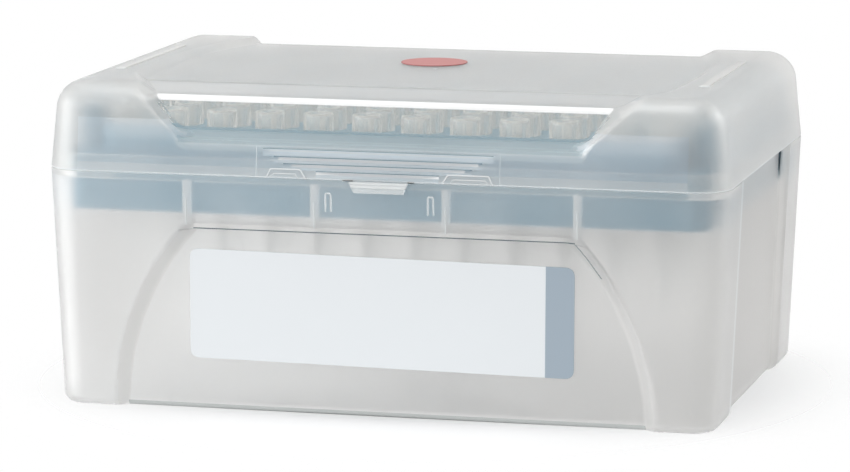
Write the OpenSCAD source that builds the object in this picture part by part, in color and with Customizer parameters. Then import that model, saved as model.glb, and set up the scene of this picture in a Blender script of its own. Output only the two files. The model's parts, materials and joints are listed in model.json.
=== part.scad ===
// Hinged box of filter pipette tips for a lab bench: a translucent tub and lid,
// a rack tray that drops into the tub, and 96 filter tips standing in the tray.
// Origin: middle of the tub's underside. X runs along the width, the front faces
// -Y and +Z is up. Millimetres.

/* [Tub] */
// Width of the box at the seam
box_w = 124.8; // [124.4:0.2:127]
// Depth of the box at the seam
box_d = 84.2; // [84:0.2:86]
// Height of the seam between tub and lid
seam_z = 43.4; // [43:0.1:44]
// Wall thickness of tub and lid
wall = 1.2; // [1:0.1:1.3]
// Plan radius of the upright corners at the seam
corner_r = 6.8; // [6.5:0.1:7.5]
// How far the tub's walls lean in from seam to foot
tub_draft = 2; // [1.6:0.1:2.2]
// Rounding of the tub's bottom edge
foot_r = 1.8; // [1.2:0.1:2]
// Height of the ledge over the arched front and back panels
ledge_z = 33.6; // [33:0.1:34]
// Radius of the arch where it meets its sunk panel
arch_r = 47.4; // [46.5:0.1:48]
// Half depth of the sunk front and back panels at the foot
panel_y = 37.8; // [37.5:0.1:38]
// Half width of the sunk end panels at the foot
panel_x = 58.9; // [58.7:0.1:59]
// Half length of the sunk end panels
panel_len = 22.7; // [21:0.1:24]

/* [Lid] */
// Height of the lid's raised end bands
top_z = 59; // [58.8:0.1:59.6]
// Height of the flat middle of the lid
mid_z = 58; // [57.8:0.1:58.2]
// How far the lid's walls lean in from seam to top
lid_draft = 1; // [0.8:0.1:1.2]
// Rounding of the lid's top edge
top_r = 5.6; // [5:0.1:5.8]
// Half width of the window at its foot
window_w = 35.6; // [34:0.1:37]
// Height of the foot of the window
window_z = 49.5; // [49.3:0.1:50]
// Depth of the window behind the lid's front face
window_in = 2.4; // [2:0.1:2.6]

/* [Rack] */
// Tip spacing, the microplate standard
pitch = 9; // [9]
// Number of tips along the width
cols = 12; // [12]
// Number of tips along the depth
rows = 8; // [8]
// Height of the tray's deck
deck_z = 49.5; // [49.3:0.1:49.8]
// Height of the rim round the deck
deck_rim_z = 51; // [50.8:0.1:51.2]
// Height of the lower edge of the tray's skirt
skirt_z = 35.8; // [35.5:0.1:37]
// Radius of a hole in the deck
hole_r = 2.4; // [2.35:0.01:2.5]

/* [Tip] */
// Outer radius of a tip's collar
collar_r = 2.75; // [2.6:0.01:2.8]
// Height of the collar above the deck
collar_h = 4.1; // [3.8:0.1:4.3]
// Length of a tip from collar top to point
tip_len = 33; // [30:0.5:36]
// Radius of the filter plug and of the bore that holds it
filter_r = 1.3; // [1.2:0.01:1.35]
// Length of the filter plug
filter_len = 4; // [3:0.5:5]

/* [Hinge] */
// Distance from the middle of the box to a hinge along the width
hinge_x = 34; // [30:1:40]
// Distance of the hinge axis behind the middle of the box
hinge_y = 44.6; // [44.5:0.1:45]
// Radius of the moulded hinge pins
pin_r = 1.1; // [1:0.05:1.15]
// Radial clearance of a pin in its ear
pin_gap = 0.05; // [0.03:0.01:0.08]

/* [Label] */
// Width of the label
label_w = 70.6; // [66:0.2:72]
// Height of the label
label_h = 20; // [18:0.2:21]
// Height of the middle of the label
label_z = 19; // [18:0.1:20]
// Thickness of the label and of the lid's round sticker
sticker_t = 0.15; // [0.1:0.01:0.2]
// Offset of the label from the middle of the panel
label_x = -0.4; // [-2:0.1:2]
// Turn of the hand-laid label on its panel, clockwise from the front
label_turn = 0.6; // [-2:0.1:2]
// Radius of the lid's round sticker
dot_r = 6.2; // [5.5:0.1:6.5]
// Place of the round sticker on the lid, across and back from the middle
dot_at = [-3, 11]; // [-20:0.5:20]

/* [Hidden] */

big = 200;          // reaches past every wall
over = 0.5;         // overlap of joined pieces of one moulding
frosted = [0.86, 0.87, 0.88, 0.6];

// Slopes of the drafted walls, in mm of lean for each mm of height
tub_lean = tub_draft / seam_z;
panel_lean = 1.6 / 41.6;
arch_lean = 1 / ledge_z;

// Rim and lip: the wall thickens inwards under the seam and a lip stands up inside the lid
rim_z = seam_z - 1.5;
lip_out = 2.1;
lip_in = 3.1;
lip_h = 2.6;

// Clefts between the end panels and the steps beside them, open at the seam
cleft_w = 1;
cleft_t = 0.5;
cleft_z = 37.1;

// Arched panels: the step slopes from the sunk panel out to the face
arch_slope = 0.83;
arch_mid_y = panel_y + 0.5;

// Ribs behind the upper band carry the tray's skirt
rib_xs = [-35.7, -12, 12, 35.7];
rib_w = 1.4;
rib_top = rim_z + 0.2;
seat_in = 36.4;

// Latch and grip on the lid's front
latch_w = 5.6;
latch_foot_w = 4.6;
latch_z = 41.1;
latch_t = 0.8;
front_gap = 0.25;
latch_root_z = seam_z + 1.7;
ridge_pitch = 1.2;
ridge_out = 0.1;
ridge_in = 0.4;
ridge_half = [12.5, 18.3, 20, 21.8];

// Snap pads stand on the lip and press the closed lid
pad_x = 16.9;
pad_out = 0.35;

// Hinge: two ears on the tub hold the pins of one knuckle on the lid
knuckle_r = 1.9;
knuckle_w = 6;
ear_w = 1.8;
ear_gap = 0.25;
stop_y = 1.8;       // the ear's square corner, behind and above the axis,
stop_z = 2.08;      // meets the lid's back wall at about 111 degrees

// Tray
tray_wall = 1.2;
skirt_w = 117.2;
skirt_d = 77;
skirt_r = 3.6;
body_w = 106.8;
body_d = 73.2;
body_r = 4;
shoulder_z = 44.4;
deck_t = 1.6;
rim_t = 0.8;
lug_x = 56.5;
lug_y = 28.5;
lug_w = 3;
lug_d = 4;
lug_top = 53.4;

tip_top = deck_z + collar_h;
tip_end = tip_top - tip_len;
filter_top = deck_z - 3.5;

// ---------------------------------------------------------------- shared forms

// Puts a turned post at each corner of a w by d rectangle and wraps them
module rounded_block(w, d, r) {
    hull()
        for (x = [-1, 1], y = [-1, 1])
            translate([x * (w / 2 - r), y * (d / 2 - r), 0])
                rotate_extrude($fn = 32) children();
}

// Points of a quarter turn, for rounding a post's edge
function turn(cx, cz, r, from, to, n = 4) =
    [for (i = [0 : n]) let (a = from + (to - from) * i / n) [cx + r * cos(a), cz + r * sin(a)]];

// Prism with its outline in Y and Z, centred along X
module along_x(w, outline) {
    rotate([90, 0, 90]) translate([0, 0, -w / 2]) linear_extrude(w) polygon(outline);
}

// Prism with its outline in X and Z, from y0 to y1
module along_y(y0, y1, outline) {
    translate([0, y1, 0]) rotate([90, 0, 0]) linear_extrude(y1 - y0) polygon(outline);
}

module both_sides_x() {
    children();
    mirror([1, 0, 0]) children();
}

module both_sides_y() {
    children();
    mirror([0, 1, 0]) children();
}

// Rectangle with round corners, centred
module round_plate(w, h, r, t) {
    linear_extrude(t) {
        square([w - 2 * r, h], center = true);
        square([w, h - 2 * r], center = true);
        for (x = [-1, 1], y = [-1, 1])
            translate([x * (w / 2 - r), y * (h / 2 - r)]) circle(r, $fn = 32);
    }
}

// ---------------------------------------------------------------- tub

// The tub's outer form when t is 0, and its hollow when t is the wall
module tub_form(t) {
    foot = corner_r - tub_draft - t;
    seam = corner_r - t;
    edge = max(foot_r - t, 0.4);
    top = t > 0 ? seam_z + over : seam_z;
    difference() {
        rounded_block(box_w - 2 * t, box_d - 2 * t, seam)
            polygon(concat(
                [[0, t]],
                turn(foot - edge, t + edge, edge, -90, 0),
                [[seam, seam_z], [seam, top], [0, top]]
            ));
        both_sides_y() arch_recess(t);
        both_sides_x() end_recess(t);
    }
}

// Sunk arched panel under the ledge, at the front; grown by t it clears the wall
module arch_recess(t) {
    reach = 12;
    root_y = arch_mid_y - t;
    root_r = arch_r + 0.47 * t;
    deep = 4;
    intersection() {
        translate([0, -root_y + deep, 0]) rotate([90, 0, 0])
            cylinder(reach + deep, root_r - arch_slope * deep, root_r + arch_slope * reach, $fn = 96);
        along_x(big, [
            [-big / 2, -1],
            [-panel_y + t, -1],
            [-panel_y + t, 0],
            [-panel_y + t - arch_lean * (ledge_z + t), ledge_z + t],
            [-big / 2, ledge_z + t]
        ]);
    }
}

// Sunk panel on the right end, from the foot up to the seam
module end_recess(t) {
    top = seam_z + 1;
    step = 0.6;
    out = 8;
    intersection() {
        along_y(-big / 2, big / 2, [
            [panel_x - t, -1],
            [big, -1],
            [big, top],
            [panel_x - t + panel_lean * top, top]
        ]);
        translate([0, 0, -1]) linear_extrude(big) polygon([
            [panel_x - t, -panel_len - 0.8 * t],
            [panel_x - t + out, -panel_len - 0.8 * t - step * out],
            [panel_x - t + out, panel_len + 0.8 * t + step * out],
            [panel_x - t, panel_len + 0.8 * t]
        ]);
    }
}

// Upright band between two insets from the box's outline
module rim_band(outer, inner, z0, z1) {
    difference() {
        translate([0, 0, z0]) rounded_block(box_w - 2 * outer, box_d - 2 * outer, corner_r - outer)
            square([corner_r - outer, z1 - z0]);
        translate([0, 0, z0 - 1]) rounded_block(box_w - 2 * inner, box_d - 2 * inner, corner_r - inner)
            square([corner_r - inner, z1 - z0 + 2]);
    }
}

// Thin rib inside the front band, with a seat under the tray's skirt
module seat_rib() {
    wall_y = box_d / 2 - wall - 0.2;
    along_x(rib_w, [
        [-wall_y, ledge_z + wall - over],
        [-seat_in, ledge_z + wall - over],
        [-seat_in, skirt_z],
        [-skirt_d / 2 - 0.4, skirt_z],
        [-skirt_d / 2 - 0.4, rib_top],
        [-wall_y, rib_top]
    ]);
}

// Small raised arch beside the latch
module latch_guide() {
    y = -box_d / 2 + tub_lean * (seam_z - 41);
    difference() {
        along_y(y - 0.3, y + 0.8, [[8.6, 37], [10.4, 37], [10.4, 41.2], [8.6, 41.2]]);
        along_y(y - 1, y + 1, [[9, 36.9], [10, 36.9], [10, 40.7], [9, 40.7]]);
    }
}

// Ear that carries a hinge pin: sloped in front, where the lid's wall turns past it,
// and square behind, where it stops the opened lid
module hinge_ear() {
    back = hinge_y + stop_y;
    along_x(ear_w, [
        [box_d / 2 - wall, 35],
        [box_d / 2 - 0.3, 35],
        [back, 41],
        [back, seam_z + stop_z],
        [hinge_y - 0.8, seam_z + stop_z],
        [hinge_y - knuckle_r, seam_z + 0.9],
        [hinge_y - knuckle_r, seam_z - 0.8],
        [box_d / 2 - wall, seam_z - 0.8]
    ]);
}

module hinge_ears() {
    offset_x = (knuckle_w + ear_w) / 2 + ear_gap;
    difference() {
        for (x = [-offset_x, offset_x]) translate([x, 0, 0]) hinge_ear();
        translate([-knuckle_w, hinge_y, seam_z]) rotate([0, 90, 0])
            cylinder(2 * knuckle_w, r = pin_r + pin_gap, $fn = 48);
    }
}

// Trapezoid pad on the lip that the lid snaps over
module snap_pad() {
    y = -box_d / 2 + lip_out;
    along_y(y - pad_out, y + 0.4, [
        [pad_x - 4, seam_z + 0.4],
        [pad_x + 4, seam_z + 0.4],
        [pad_x + 3.2, seam_z + 1.9],
        [pad_x - 3.2, seam_z + 1.9]
    ]);
}

// Wedge cut out of the end panel in each of its corners, under the seam
module end_cleft() {
    top = seam_z + over;
    along_y(panel_len - cleft_w / 2, panel_len + cleft_w, [
        [panel_x + panel_lean * top - cleft_t, top],
        [panel_x + panel_lean * top + cleft_w, top],
        [panel_x + panel_lean * cleft_z + 0.1, cleft_z]
    ]);
}

module base() {
    color(frosted) {
        difference() {
            tub_form(0);
            tub_form(wall);
            both_sides_x() both_sides_y() end_cleft();
        }
        difference() {
            rim_band(wall / 2, lip_in, rim_z, seam_z);
            both_sides_x() end_recess(0);
            both_sides_x() both_sides_y() end_cleft();
        }
        rim_band(lip_out, lip_in, seam_z - over, seam_z + lip_h);
        both_sides_y() for (x = rib_xs) translate([x, 0, 0]) seat_rib();
        both_sides_x() {
            latch_guide();
            snap_pad();
            translate([hinge_x, 0, 0]) hinge_ears();
        }
    }
}

// ---------------------------------------------------------------- lid

// The lid's outer form when t is 0, and its hollow when t is the wall
module lid_form(t) {
    seam = corner_r - t;
    top = corner_r - lid_draft - t;
    edge = top_r - t;
    foot = t > 0 ? seam_z - over : seam_z;
    difference() {
        rounded_block(box_w - 2 * t, box_d - 2 * t, seam)
            polygon(concat(
                [[0, foot], [seam, foot], [seam, seam_z]],
                turn(top - edge, top_z - t - edge, edge, 0, 90, 6),
                [[0, top_z - t]]
            ));
        top_recess(t);
        window_recess(t);
    }
}

// Sunk middle of the lid, between its raised end bands and rounded down at the back
module top_recess(t) {
    z = mid_z - t;
    half = 45 + 0.5 * t;
    rise = 3;
    back_r = 9.3;
    drop = 10;
    intersection() {
        along_y(-big / 2, big / 2, [
            [-half + 1, z - drop],
            [half - 1, z - drop],
            [half, z],
            [half + 3 * rise, z + rise],
            [-half - 3 * rise, z + rise],
            [-half, z]
        ]);
        along_x(big, concat(
            [[-big / 2, z + rise], [-big / 2, z]],
            turn(32.6, mid_z - back_r, back_r - t, 90, 0, 8),
            [[big / 2, mid_z - back_r], [big / 2, z + rise]]
        ));
    }
}

// Window panel at the front: trapezoid seen from the front, stepped in section
module window_recess(t) {
    face = -box_d / 2;
    foot_y = face + 0.4 + window_in + t;
    half = window_w + 0.4 * t;
    intersection() {
        along_y(-big / 2, big / 2, [
            [-half, window_z - t],
            [half, window_z - t],
            [half + 11, window_z + 9.5],
            [-half - 11, window_z + 9.5]
        ]);
        along_x(big, [
            [-big / 2, window_z - t],
            [face + 0.4 + t, window_z - t],
            [foot_y, window_z + 0.1 - t],
            [foot_y + 0.5, window_z + 6.2 - t / 2],
            [foot_y + 1.2, window_z + 7.2 - t],
            [-26, mid_z - 0.1 - t],
            [-26, mid_z + 4],
            [-big / 2, mid_z + 4]
        ]);
    }
}

// Cut above one shingle of the finger grip, and the lip that stands out under it
module grip_cut(i) {
    z = seam_z + (i + 1) * ridge_pitch;
    y = grip_y(z);
    along_x(2 * ridge_half[i], [
        [y - 1, z - 0.8],
        [y, z - 0.8],
        [y + ridge_in, z - 0.2],
        [y + ridge_in, z],
        [y - 1, z]
    ]);
}

module grip_lip(i) {
    z = seam_z + i * ridge_pitch;
    y = grip_y(z);
    along_x(2 * ridge_half[i] - 1, [
        [y + 0.4, z],
        [y - ridge_out, z],
        [y - ridge_out, z + 0.4],
        [y + 0.4, z + 0.4]
    ]);
}

function grip_y(z) = -box_d / 2 + (z - seam_z) * lid_draft / (top_z - seam_z - top_r);

// Latch tab that hangs over the tub's face, with two finger grooves
module latch_tab() {
    face = -box_d / 2 - front_gap;
    difference() {
        along_y(face - latch_t, face, [
            [-latch_w, seam_z + 0.4],
            [-latch_w, seam_z - 0.2],
            [-latch_foot_w, latch_z],
            [latch_foot_w, latch_z],
            [latch_w, seam_z - 0.2],
            [latch_w, seam_z + 0.4]
        ]);
        for (z = [seam_z - 0.55, seam_z - 1.3])
            along_x(2 * latch_w - 1.4, [
                [face - latch_t - 0.1, z - 0.2],
                [face - latch_t + 0.25, z],
                [face - latch_t - 0.1, z + 0.2]
            ]);
    }
    along_x(2 * latch_w, [
        [face - latch_t, seam_z],
        [face - latch_t, seam_z + 0.5],
        [face + 0.4, latch_root_z],
        [face + 1, latch_root_z],
        [face + 1, seam_z]
    ]);
}

// Knuckle with its two pins, joined to the lid's back wall
module hinge_knuckle() {
    pin_len = knuckle_w + 2 * ear_gap + 2 * ear_w;
    translate([-knuckle_w / 2, hinge_y, seam_z]) rotate([0, 90, 0])
        cylinder(knuckle_w, r = knuckle_r, $fn = 48);
    translate([-pin_len / 2, hinge_y, seam_z]) rotate([0, 90, 0])
        cylinder(pin_len, r = pin_r, $fn = 48);
    along_x(knuckle_w, [
        [box_d / 2 - 0.8, seam_z + 0.15],
        [hinge_y, seam_z + 0.15],
        [hinge_y, seam_z + knuckle_r],
        [box_d / 2 - 0.8, seam_z + knuckle_r + 1.2]
    ]);
}

// Low grip bar on a raised end band
module top_bar() {
    translate([54.3, -1, top_z - 0.1]) linear_extrude(0.3) square([1.6, 37], center = true);
}

module lid() {
    color(frosted) {
        difference() {
            lid_form(0);
            lid_form(wall);
            for (i = [0 : 3]) grip_cut(i);
        }
        for (i = [0 : 3]) grip_lip(i);
        latch_tab();
        both_sides_x() {
            top_bar();
            translate([hinge_x, 0, 0]) hinge_knuckle();
        }
    }
}

// ---------------------------------------------------------------- rack tray

// Post on the tray's shoulder that a finger lifts it by
module tray_lug() {
    translate([lug_x - lug_w / 2, lug_y - lug_d / 2, shoulder_z])
        cube([lug_w, lug_d, lug_top - shoulder_z]);
}

module tray() {
    color([0.56, 0.65, 0.71]) difference() {
        union() {
            translate([0, 0, skirt_z]) rounded_block(skirt_w, skirt_d, skirt_r)
                square([skirt_r, shoulder_z + tray_wall - skirt_z]);
            translate([0, 0, shoulder_z]) rounded_block(body_w, body_d, body_r)
                square([body_r, deck_rim_z - shoulder_z]);
            both_sides_x() both_sides_y() tray_lug();
        }
        translate([0, 0, deck_z]) rounded_block(body_w - 2 * rim_t, body_d - 2 * rim_t, body_r - rim_t)
            square([body_r - rim_t, deck_rim_z]);
        translate([0, 0, skirt_z - 1])
            rounded_block(skirt_w - 2 * tray_wall, skirt_d - 2 * tray_wall, skirt_r - tray_wall)
                square([skirt_r - tray_wall, shoulder_z - skirt_z + 1]);
        translate([0, 0, shoulder_z - 1])
            rounded_block(body_w - 2 * tray_wall, body_d - 2 * tray_wall, body_r - tray_wall)
                square([body_r - tray_wall, deck_z - deck_t - shoulder_z + 1]);
        for (c = [0 : cols - 1], r = [0 : rows - 1])
            translate([tip_x(c), row_y(r), deck_z - deck_t - 1])
                cylinder(deck_t + 2, r = hole_r, $fn = 48);
    }
}

function tip_x(c) = (c - (cols - 1) / 2) * pitch;
function row_y(r) = ((rows - 1) / 2 - r) * pitch;

// ---------------------------------------------------------------- tips and filters

// One tip, point down, hung by its collar in a hole of the deck
module tip() {
    bore_top = 1.72;
    rotate_extrude($fn = 48) polygon([
        [0.2, tip_end],
        [0.4, tip_end],
        [0.62, tip_end + 6],
        [1.75, filter_top - filter_len - 2],
        [2.2, deck_z - 1],
        [2.2, deck_z],
        [collar_r - 0.15, deck_z],
        [collar_r, tip_top - 0.4],
        [collar_r - 0.3, tip_top],
        [bore_top + 0.2, tip_top],
        [bore_top, tip_top - 0.5],
        [filter_r, filter_top + 1],
        [filter_r, filter_top - filter_len],
        [0.35, tip_end + 6]
    ]);
}

module tips_row(r) {
    color([0.9, 0.92, 0.93, 0.5])
        for (c = [0 : cols - 1]) translate([tip_x(c), row_y(r), 0]) tip();
}

module filters_row(r) {
    color("white")
        for (c = [0 : cols - 1]) translate([tip_x(c), row_y(r), filter_top - filter_len])
            cylinder(filter_len, r = filter_r, $fn = 48);
}

// ---------------------------------------------------------------- stickers

// Printed label on the sunk front panel
module label() {
    tilt = atan(arch_lean);
    color([0.93, 0.95, 0.96])
        translate([label_x, -panel_y - arch_lean * label_z, label_z]) rotate([90 + tilt, 0, 0])
            rotate([0, 0, -label_turn]) round_plate(label_w, label_h, 1.6, sticker_t);
}

// Round sticker in the middle of the lid
module lid_dot() {
    color([0.85, 0.45, 0.45])
        translate([dot_at[0], dot_at[1], mid_z]) cylinder(sticker_t, r = dot_r, $fn = 64);
}

base();
lid();
tray();
label();
lid_dot();
tips_row(0);  // tips_row_a
tips_row(1);  // tips_row_b
tips_row(2);  // tips_row_c
tips_row(3);  // tips_row_d
tips_row(4);  // tips_row_e
tips_row(5);  // tips_row_f
tips_row(6);  // tips_row_g
tips_row(7);  // tips_row_h
filters_row(0);  // filters_row_a
filters_row(1);  // filters_row_b
filters_row(2);  // filters_row_c
filters_row(3);  // filters_row_d
filters_row(4);  // filters_row_e
filters_row(5);  // filters_row_f
filters_row(6);  // filters_row_g
filters_row(7);  // filters_row_h
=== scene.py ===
import json
import math

import bmesh
import bpy
from mathutils import Matrix, Vector


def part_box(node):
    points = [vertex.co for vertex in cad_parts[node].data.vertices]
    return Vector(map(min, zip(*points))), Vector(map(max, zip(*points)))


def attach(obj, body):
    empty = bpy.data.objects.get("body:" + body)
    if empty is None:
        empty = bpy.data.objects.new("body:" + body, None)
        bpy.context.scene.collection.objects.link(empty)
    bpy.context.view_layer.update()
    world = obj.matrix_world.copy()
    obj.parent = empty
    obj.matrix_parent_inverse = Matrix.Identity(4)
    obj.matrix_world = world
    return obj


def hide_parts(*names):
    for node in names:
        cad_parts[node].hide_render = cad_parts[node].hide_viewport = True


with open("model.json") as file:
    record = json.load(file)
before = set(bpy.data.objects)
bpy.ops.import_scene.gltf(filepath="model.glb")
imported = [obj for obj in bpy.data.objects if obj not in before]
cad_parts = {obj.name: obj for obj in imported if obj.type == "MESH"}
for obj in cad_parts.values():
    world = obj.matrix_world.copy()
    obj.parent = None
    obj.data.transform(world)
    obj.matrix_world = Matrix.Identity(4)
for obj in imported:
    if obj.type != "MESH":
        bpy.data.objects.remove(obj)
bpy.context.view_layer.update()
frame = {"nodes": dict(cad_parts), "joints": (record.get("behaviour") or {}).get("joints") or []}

# X is to the right, the front faces -Y, and the box rests on Z 0
MM = 0.001                      # every length below is in millimetres


# ------------------------------------------------------------------ sizes of the mouldings

BOX_W = 2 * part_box("base")[1].x / MM    # width at the seam
BOX_D = 84.2                            # depth at the seam
SEAM_Z = 43.1                           # where tub and lid meet
WALL = 1.2                              # wall of tub and lid
CORNER_R = 6.8                          # plan radius of the upright corners at the seam
CORNER_X = BOX_W / 2 - CORNER_R         # centre of that radius, the same at every height
CORNER_Y = BOX_D / 2 - CORNER_R

TUB_LEAN = 2.0 / SEAM_Z                 # draft of the tub's walls
FOOT_R = 1.8                            # rounding of the bottom edge
LEDGE_Z = 33.45                         # top of the arched panels
ARCH_IN, ARCH_OUT = 47.4, 49.8          # radii of the arch on its sunk panel and on the face
PANEL_Y, PANEL_Y_LEAN = 37.8, 1 / 33.6  # sunk panels front and back
PANEL_X, PANEL_X_LEAN = 58.9, 1.6 / 41.6    # sunk panels at the ends
END_IN, END_OUT = 22.7, 24.6            # half lengths of an end panel, inside and outside its step
RIM_Z = SEAM_Z - 1.35                   # the wall is thicker above this height
LIP_OUT, LIP_IN, LIP_TOP = 2.1, 3.1, SEAM_Z + 2.75
PANEL_FOOT_R, FOOT_SHADE = 0.9, 0.95    # rounding of the sunk panels' foot, and its dark band

LID_LEAN = 0.1                          # draft of the lid's walls up to the top rounding
TOP_Z, MID_Z = 59.0, 58.0               # raised end bands and sunk middle
TOP_R = 5.6                             # rounding of the lid's top edge
TURN_Z = TOP_Z - TOP_R
TURN_INSET = LID_LEAN * (TURN_Z - SEAM_Z)

hinge = frame["joints"][0]
HINGE_Y, HINGE_Z = hinge["pos_m"][1] / MM, hinge["pos_m"][2] / MM
HINGE_X = 34.0                          # middle of each hinge from the middle of the box

PITCH, COLS, ROWS = 9.0, 12, 8          # the tips' grid
DECK_Z = 49.5                           # top of the tray, on which the collars stand


# ------------------------------------------------------------------ colours and nodes

def linear(hex_colour):
    """sRGB hex to the linear RGBA that sockets take."""
    parts = [int(hex_colour[i:i + 2], 16) / 255 for i in (1, 3, 5)]
    return tuple(c / 12.92 if c <= 0.04045 else ((c + 0.055) / 1.055) ** 2.4 for c in parts) + (1.0,)


def plug(tree, node, **inputs):
    """Sets a node's sockets, by name or as i and a number, to values, or links them to other
    sockets or to the first output of other nodes."""
    for key, value in inputs.items():
        numbered = key[0] == "i" and key[1:].isdigit()
        socket = node.inputs[int(key[1:]) if numbered else key.replace("_", " ")]
        if isinstance(value, bpy.types.Node):
            value = value.outputs[0]
        if isinstance(value, bpy.types.NodeSocket):
            tree.links.new(value, socket)
        else:
            socket.default_value = value


def add(tree, kind, settings=None, **inputs):
    """Adds one node with its settings and its sockets' values and links."""
    node = tree.nodes.new(kind)
    for key, value in (settings or {}).items():
        setattr(node, key, value)
    plug(tree, node, **inputs)
    return node


def new_material(name, **inputs):
    """An empty material with its Principled shader, set to inputs, and object coordinates."""
    material = bpy.data.materials.new(name)
    material.use_nodes = True
    tree = material.node_tree
    tree.nodes.clear()
    shader = add(tree, "ShaderNodeBsdfPrincipled", **inputs)
    add(tree, "ShaderNodeOutputMaterial", Surface=shader)
    coords = add(tree, "ShaderNodeTexCoord").outputs["Object"]
    return material, tree, shader, coords


def let_light_through(tree, shader, shade="#F4F5F5", ambient="#FAFAFA"):
    """Lets lamps and bounced light pass straight through a thin wall, tinted by shade and
    ambient, so that what stands behind it is lit as it is in thin milky plastic."""
    path = add(tree, "ShaderNodeLightPath")
    surface = shader
    for name, colour in (("Is Shadow Ray", shade), ("Is Diffuse Ray", ambient)):
        clear = add(tree, "ShaderNodeBsdfTransparent", Color=linear(colour))
        surface = add(tree, "ShaderNodeMixShader", i0=path.outputs[name], i1=surface, i2=clear)
    plug(tree, tree.nodes["Material Output"], Surface=surface)


# ------------------------------------------------------------------ finishes

POLYPROPYLENE_IOR = 1.49
SKIN_GRAIN = 1 / (0.35 * MM)    # real spark-eroded grain is near 0.05 mm, drawn coarser to show


def face_cloud(tree, coords):
    """1 in the lid's front wall beside the window, 0 under it, over it and at the corners."""
    place = add(tree, "ShaderNodeSeparateXYZ", Vector=coords)
    cloud = 1.0
    for axis, start, end in (("X", -52.5, -47.5), ("X", 55.5, 51.5), ("Z", 48.4, 50.8), ("Z", 53.4, 52.4)):
        edge = add(tree, "ShaderNodeMapRange", {"interpolation_type": "SMOOTHSTEP"},
                   Value=place.outputs[axis], From_Min=start * MM, From_Max=end * MM)
        cloud = add(tree, "ShaderNodeMath", {"operation": "MULTIPLY"}, i0=edge, i1=cloud)
    return cloud


def frosted_polypropylene(
    name, colour, rough, through, shine=0.5, bend=POLYPROPYLENE_IOR, far=None, along="X", cloud=0.0,
):
    """Natural polypropylene from a spark-eroded mould: milky, with a fine satin skin that
    shows what is close behind it and blurs the rest. far is the colour at the far end of
    the part along X or Y, a painted fall-off of the light from one end to the other;
    cloud is how much milkier it is in the lid's front wall beside the window."""
    material, tree, shader, coords = new_material(
        name, Base_Color=linear(colour), IOR=bend, Specular_IOR_Level=shine)
    skin = add(tree, "ShaderNodeTexNoise", Vector=coords, Scale=SKIN_GRAIN)
    haze = add(tree, "ShaderNodeTexNoise", Vector=coords, Scale=1 / (14 * MM), Detail=3)
    clear = add(tree, "ShaderNodeMapRange", Value=haze, To_Min=through - 0.06, To_Max=through + 0.06)
    # far paints the fall-off of the light from one end of the part to the other
    if far:
        place = add(tree, "ShaderNodeSeparateXYZ", Vector=coords).outputs[along]
        reach = (55 if along == "X" else 22) * MM
        painted_falloff = add(tree, "ShaderNodeMapRange", Value=place, From_Min=-reach, From_Max=reach)
        tint = add(tree, "ShaderNodeMix", {"data_type": "RGBA"},
                   Factor=painted_falloff, i6=linear(colour), i7=linear(far))
        plug(tree, shader, Base_Color=tint.outputs[2])
    if cloud:
        clear = add(tree, "ShaderNodeMath", {"operation": "MULTIPLY_ADD"},
                    i0=face_cloud(tree, coords), i1=-cloud, i2=clear)
    plug(
        tree, shader, Transmission_Weight=clear,
        Roughness=add(tree, "ShaderNodeMapRange", Value=skin, To_Min=rough - 0.04, To_Max=rough + 0.04),
        Normal=add(tree, "ShaderNodeBump", Height=skin, Distance=0.02 * MM, Strength=0.4),
    )
    let_light_through(tree, shader)
    return material


def milky_polypropylene(name, colour, through):
    """The same plastic, less see-through and nearly white: milkier where thick, and a painted highlight on
    edges and fine lines.
    """
    material, tree, shader, coords = new_material(
        name, Base_Color=linear(colour), IOR=POLYPROPYLENE_IOR, Transmission_Weight=through)
    skin = add(tree, "ShaderNodeTexNoise", Vector=coords, Scale=SKIN_GRAIN)
    plug(
        tree, shader,
        Roughness=add(tree, "ShaderNodeMapRange", Value=skin, To_Min=0.28, To_Max=0.36),
        Normal=add(tree, "ShaderNodeBump", Height=skin, Distance=0.01 * MM, Strength=0.3),
    )
    let_light_through(tree, shader, "#C8CACB", "#E0E0E0")
    return material


def clear_polypropylene(name, colour, rough, through, *tints):
    """Clarified polypropylene from a polished mould: see-through, a little wavy. tints are
    those of the light that passes it."""
    material, tree, shader, coords = new_material(
        name, Base_Color=linear(colour), IOR=POLYPROPYLENE_IOR, Transmission_Weight=through)
    wave = add(tree, "ShaderNodeTexNoise", Vector=coords, Scale=1 / (2.5 * MM))
    plug(
        tree, shader,
        Roughness=add(tree, "ShaderNodeMapRange", Value=wave, To_Min=rough * 0.7, To_Max=rough * 1.3),
        Normal=add(tree, "ShaderNodeBump", Height=wave, Distance=0.03 * MM, Strength=0.3),
    )
    let_light_through(tree, shader, *tints)
    return material


def satin_polypropylene(name, colour, deep):
    """Pigmented polypropylene with a satin skin: even colour, soft broad shine."""
    material, tree, shader, coords = new_material(name, IOR=POLYPROPYLENE_IOR)
    melt = add(tree, "ShaderNodeTexNoise", Vector=coords, Scale=1 / (9 * MM), Detail=3)
    tint = add(tree, "ShaderNodeMix", {"data_type": "RGBA"},
               Factor=melt, i6=linear(deep), i7=linear(colour))
    skin = add(tree, "ShaderNodeTexNoise", Vector=coords, Scale=SKIN_GRAIN)
    plug(
        tree, shader, Base_Color=tint.outputs[2],
        Roughness=add(tree, "ShaderNodeMapRange", Value=skin, To_Min=0.42, To_Max=0.52),
        Normal=add(tree, "ShaderNodeBump", Height=skin, Distance=0.02 * MM, Strength=0.4),
    )
    return material


def porous_polyethylene(name, colour):
    """Sintered polyethylene beads, 0.25 mm across: dull white with a crumbly face."""
    material, tree, shader, coords = new_material(name, Base_Color=linear(colour), Roughness=0.9)
    beads = add(tree, "ShaderNodeTexVoronoi", Vector=coords, Scale=1 / (0.25 * MM))
    plug(tree, shader, Normal=add(tree, "ShaderNodeBump", Height=beads, Distance=0.08 * MM, Strength=1))
    return material


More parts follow.
